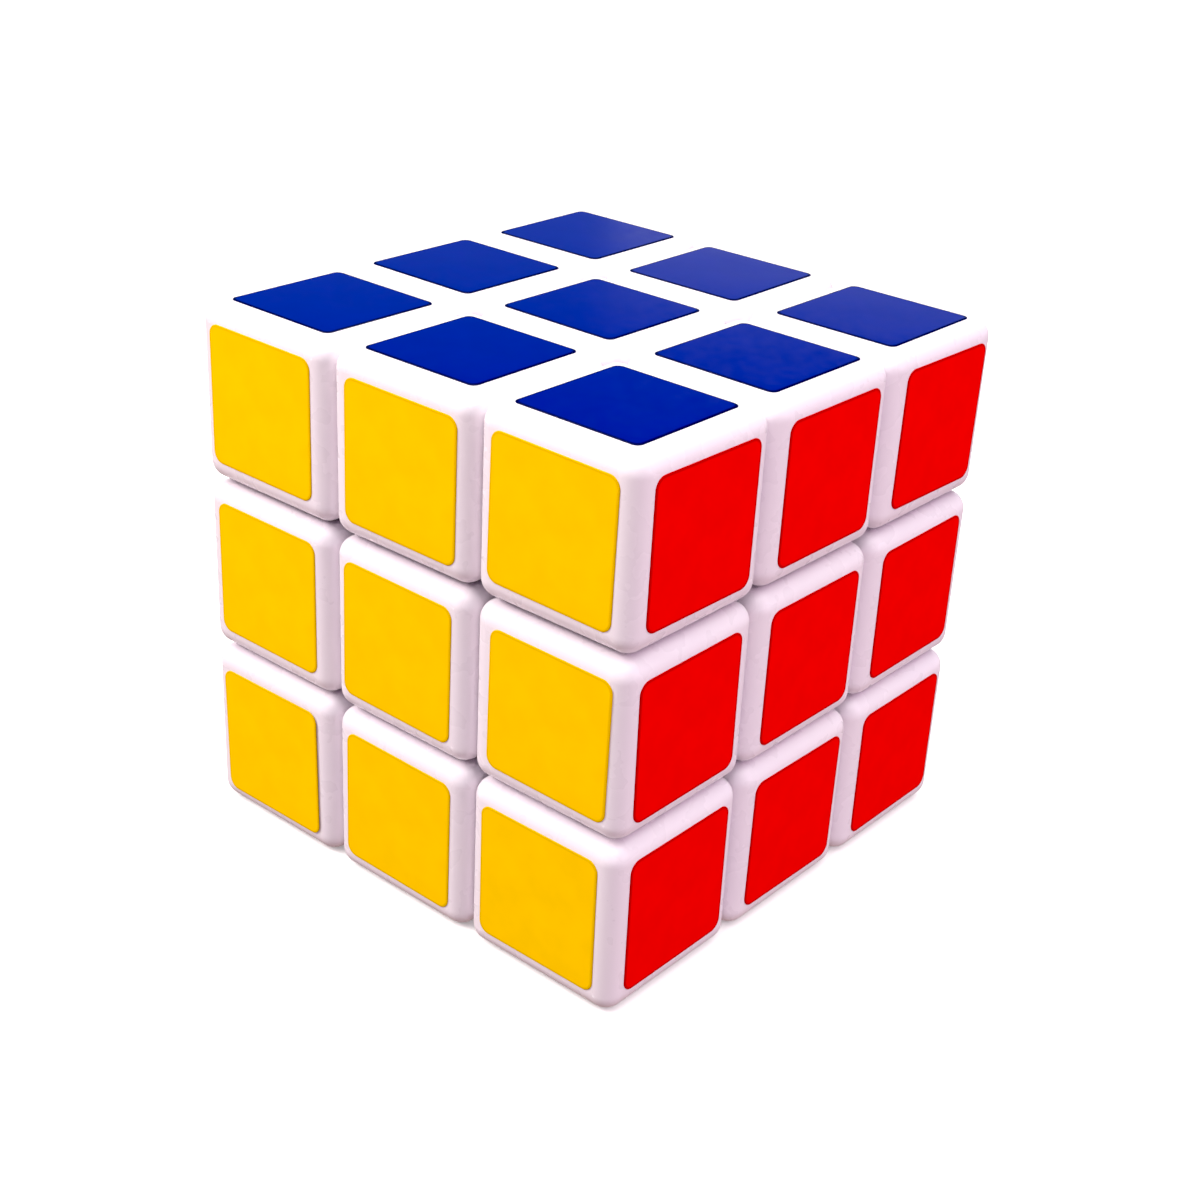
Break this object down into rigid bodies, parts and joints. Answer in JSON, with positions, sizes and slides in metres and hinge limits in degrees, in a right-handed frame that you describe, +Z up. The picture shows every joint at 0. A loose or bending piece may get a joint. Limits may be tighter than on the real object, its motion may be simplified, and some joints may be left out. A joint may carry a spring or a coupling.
{
  "type": "twisty puzzle cube",
  "caption": "White plastic twisty puzzle cube in the solved state; every face turns about its own centre piece on a hidden spring-loaded core.",
  "frame": {"origin": "centre of the core, which is the centre of the cube", "axes": "+Z up out of the blue face, -Y out of the yellow front face, +X out of the red right-hand face"},
  "size_m": [0.057, 0.057, 0.057],
  "materials": {
    "white_plastic": "glossy white moulded ABS",
    "core_plastic": "satin white moulded nylon",
    "steel": "zinc plated steel",
    "vinyl_sheet": "glossy vinyl; each sticker of the group has the colour of the face it lies on",
    "vinyl_blue": "glossy blue vinyl",
    "vinyl_black": "glossy black vinyl",
    "vinyl_yellow": "glossy yellow vinyl",
    "vinyl_green": "glossy green vinyl",
    "vinyl_red": "glossy red vinyl",
    "vinyl_orange": "glossy orange vinyl"
  },
  "bodies": {
    "core": {"core": "core_plastic", "tension_screw_sets": "steel"},
    "centre_up": {"centre_hub_up": "white_plastic", "centre_cap_up": "white_plastic", "sticker_up": "vinyl_blue"},
    "centre_down": {"centre_hub_down": "white_plastic", "centre_cap_down": "white_plastic", "sticker_down": "vinyl_black"},
    "centre_front": {"centre_hub_front": "white_plastic", "centre_cap_front": "white_plastic", "sticker_front": "vinyl_yellow"},
    "centre_back": {"centre_hub_back": "white_plastic", "centre_cap_back": "white_plastic", "sticker_back": "vinyl_green"},
    "centre_right": {"centre_hub_right": "white_plastic", "centre_cap_right": "white_plastic", "sticker_right": "vinyl_red"},
    "centre_left": {"centre_hub_left": "white_plastic", "centre_cap_left": "white_plastic", "sticker_left": "vinyl_orange"},
    "edge_up_front": {"edge_up_front": "white_plastic", "stickers_up_front": "vinyl_sheet"},
    "edge_up_back": {"edge_up_back": "white_plastic", "stickers_up_back": "vinyl_sheet"},
    "edge_down_front": {"edge_down_front": "white_plastic", "stickers_down_front": "vinyl_sheet"},
    "edge_down_back": {"edge_down_back": "white_plastic", "stickers_down_back": "vinyl_sheet"},
    "edge_up_right": {"edge_up_right": "white_plastic", "stickers_up_right": "vinyl_sheet"},
    "edge_up_left": {"edge_up_left": "white_plastic", "stickers_up_left": "vinyl_sheet"},
    "edge_down_right": {"edge_down_right": "white_plastic", "stickers_down_right": "vinyl_sheet"},
    "edge_down_left": {"edge_down_left": "white_plastic", "stickers_down_left": "vinyl_sheet"},
    "edge_front_right": {"edge_front_right": "white_plastic", "stickers_front_right": "vinyl_sheet"},
    "edge_front_left": {"edge_front_left": "white_plastic", "stickers_front_left": "vinyl_sheet"},
    "edge_back_right": {"edge_back_right": "white_plastic", "stickers_back_right": "vinyl_sheet"},
    "edge_back_left": {"edge_back_left": "white_plastic", "stickers_back_left": "vinyl_sheet"},
    "corner_up_front_right": {"corner_up_front_right": "white_plastic", "stickers_up_front_right": "vinyl_sheet"},
    "corner_up_front_left": {"corner_up_front_left": "white_plastic", "stickers_up_front_left": "vinyl_sheet"},
    "corner_up_back_right": {"corner_up_back_right": "white_plastic", "stickers_up_back_right": "vinyl_sheet"},
    "corner_up_back_left": {"corner_up_back_left": "white_plastic", "stickers_up_back_left": "vinyl_sheet"},
    "corner_down_front_right": {"corner_down_front_right": "white_plastic", "stickers_down_front_right": "vinyl_sheet"},
    "corner_down_front_left": {"corner_down_front_left": "white_plastic", "stickers_down_front_left": "vinyl_sheet"},
    "corner_down_back_right": {"corner_down_back_right": "white_plastic", "stickers_down_back_right": "vinyl_sheet"},
    "corner_down_back_left": {"corner_down_back_left": "white_plastic", "stickers_down_back_left": "vinyl_sheet"}
  },
  "joints": [
    {"name": "turn_up", "type": "hinge", "parent": "core", "child": "centre_up", "pos_m": [0, 0, 0], "axis": [0, 0, 1], "continuous": true},
    {"name": "turn_down", "type": "hinge", "parent": "core", "child": "centre_down", "pos_m": [0, 0, 0], "axis": [0, 0, -1], "continuous": true},
    {"name": "turn_front", "type": "hinge", "parent": "core", "child": "centre_front", "pos_m": [0, 0, 0], "axis": [0, -1, 0], "continuous": true},
    {"name": "turn_back", "type": "hinge", "parent": "core", "child": "centre_back", "pos_m": [0, 0, 0], "axis": [0, 1, 0], "continuous": true},
    {"name": "turn_right", "type": "hinge", "parent": "core", "child": "centre_right", "pos_m": [0, 0, 0], "axis": [1, 0, 0], "continuous": true},
    {"name": "turn_left", "type": "hinge", "parent": "core", "child": "centre_left", "pos_m": [0, 0, 0], "axis": [-1, 0, 0], "continuous": true},
    {"name": "turn_edge_up_front", "type": "hinge", "parent": "centre_front", "child": "edge_up_front", "pos_m": [0, 0, 0], "axis": [0, 0, 1], "continuous": true},
    {"name": "turn_edge_up_back", "type": "hinge", "parent": "centre_back", "child": "edge_up_back", "pos_m": [0, 0, 0], "axis": [0, 0, 1], "continuous": true},
    {"name": "turn_edge_down_front", "type": "hinge", "parent": "centre_front", "child": "edge_down_front", "pos_m": [0, 0, 0], "axis": [0, 0, -1], "continuous": true},
    {"name": "turn_edge_down_back", "type": "hinge", "parent": "centre_back", "child": "edge_down_back", "pos_m": [0, 0, 0], "axis": [0, 0, -1], "continuous": true},
    {"name": "turn_edge_up_right", "type": "hinge", "parent": "centre_up", "child": "edge_up_right", "pos_m": [0, 0, 0], "axis": [1, 0, 0], "continuous": true},
    {"name": "turn_edge_up_left", "type": "hinge", "parent": "centre_up", "child": "edge_up_left", "pos_m": [0, 0, 0], "axis": [-1, 0, 0], "continuous": true},
    {"name": "turn_edge_down_right", "type": "hinge", "parent": "centre_down", "child": "edge_down_right", "pos_m": [0, 0, 0], "axis": [1, 0, 0], "continuous": true},
    {"name": "turn_edge_down_left", "type": "hinge", "parent": "centre_down", "child": "edge_down_left", "pos_m": [0, 0, 0], "axis": [-1, 0, 0], "continuous": true},
    {"name": "turn_edge_front_right", "type": "hinge", "parent": "centre_right", "child": "edge_front_right", "pos_m": [0, 0, 0], "axis": [0, -1, 0], "continuous": true},
    {"name": "turn_edge_front_left", "type": "hinge", "parent": "centre_left", "child": "edge_front_left", "pos_m": [0, 0, 0], "axis": [0, -1, 0], "continuous": true},
    {"name": "turn_edge_back_right", "type": "hinge", "parent": "centre_right", "child": "edge_back_right", "pos_m": [0, 0, 0], "axis": [0, 1, 0], "continuous": true},
    {"name": "turn_edge_back_left", "type": "hinge", "parent": "centre_left", "child": "edge_back_left", "pos_m": [0, 0, 0], "axis": [0, 1, 0], "continuous": true},
    {"name": "turn_corner_up_front_right", "type": "hinge", "parent": "edge_front_right", "child": "corner_up_front_right", "pos_m": [0, 0, 0], "axis": [0, 0, 1], "continuous": true},
    {"name": "turn_corner_up_front_left", "type": "hinge", "parent": "edge_front_left", "child": "corner_up_front_left", "pos_m": [0, 0, 0], "axis": [0, 0, 1], "continuous": true},
    {"name": "turn_corner_up_back_right", "type": "hinge", "parent": "edge_back_right", "child": "corner_up_back_right", "pos_m": [0, 0, 0], "axis": [0, 0, 1], "continuous": true},
    {"name": "turn_corner_up_back_left", "type": "hinge", "parent": "edge_back_left", "child": "corner_up_back_left", "pos_m": [0, 0, 0], "axis": [0, 0, 1], "continuous": true},
    {"name": "turn_corner_down_front_right", "type": "hinge", "parent": "edge_front_right", "child": "corner_down_front_right", "pos_m": [0, 0, 0], "axis": [0, 0, -1], "continuous": true},
    {"name": "turn_corner_down_front_left", "type": "hinge", "parent": "edge_front_left", "child": "corner_down_front_left", "pos_m": [0, 0, 0], "axis": [0, 0, -1], "continuous": true},
    {"name": "turn_corner_down_back_right", "type": "hinge", "parent": "edge_back_right", "child": "corner_down_back_right", "pos_m": [0, 0, 0], "axis": [0, 0, -1], "continuous": true},
    {"name": "turn_corner_down_back_left", "type": "hinge", "parent": "edge_back_left", "child": "corner_down_back_left", "pos_m": [0, 0, 0], "axis": [0, 0, -1], "continuous": true}
  ],
  "couplings": [
    {"joint": "turn_edge_up_front", "follows": "turn_up", "ratio": 1},
    {"joint": "turn_edge_up_back", "follows": "turn_up", "ratio": 1},
    {"joint": "turn_edge_down_front", "follows": "turn_down", "ratio": 1},
    {"joint": "turn_edge_down_back", "follows": "turn_down", "ratio": 1},
    {"joint": "turn_edge_up_right", "follows": "turn_right", "ratio": 1},
    {"joint": "turn_edge_up_left", "follows": "turn_left", "ratio": 1},
    {"joint": "turn_edge_down_right", "follows": "turn_right", "ratio": 1},
    {"joint": "turn_edge_down_left", "follows": "turn_left", "ratio": 1},
    {"joint": "turn_edge_front_right", "follows": "turn_front", "ratio": 1},
    {"joint": "turn_edge_front_left", "follows": "turn_front", "ratio": 1},
    {"joint": "turn_edge_back_right", "follows": "turn_back", "ratio": 1},
    {"joint": "turn_edge_back_left", "follows": "turn_back", "ratio": 1},
    {"joint": "turn_corner_up_front_right", "follows": "turn_up", "ratio": 1},
    {"joint": "turn_corner_up_front_left", "follows": "turn_up", "ratio": 1},
    {"joint": "turn_corner_up_back_right", "follows": "turn_up", "ratio": 1},
    {"joint": "turn_corner_up_back_left", "follows": "turn_up", "ratio": 1},
    {"joint": "turn_corner_down_front_right", "follows": "turn_down", "ratio": 1},
    {"joint": "turn_corner_down_front_left", "follows": "turn_down", "ratio": 1},
    {"joint": "turn_corner_down_back_right", "follows": "turn_down", "ratio": 1},
    {"joint": "turn_corner_down_back_left", "follows": "turn_down", "ratio": 1}
  ]
}
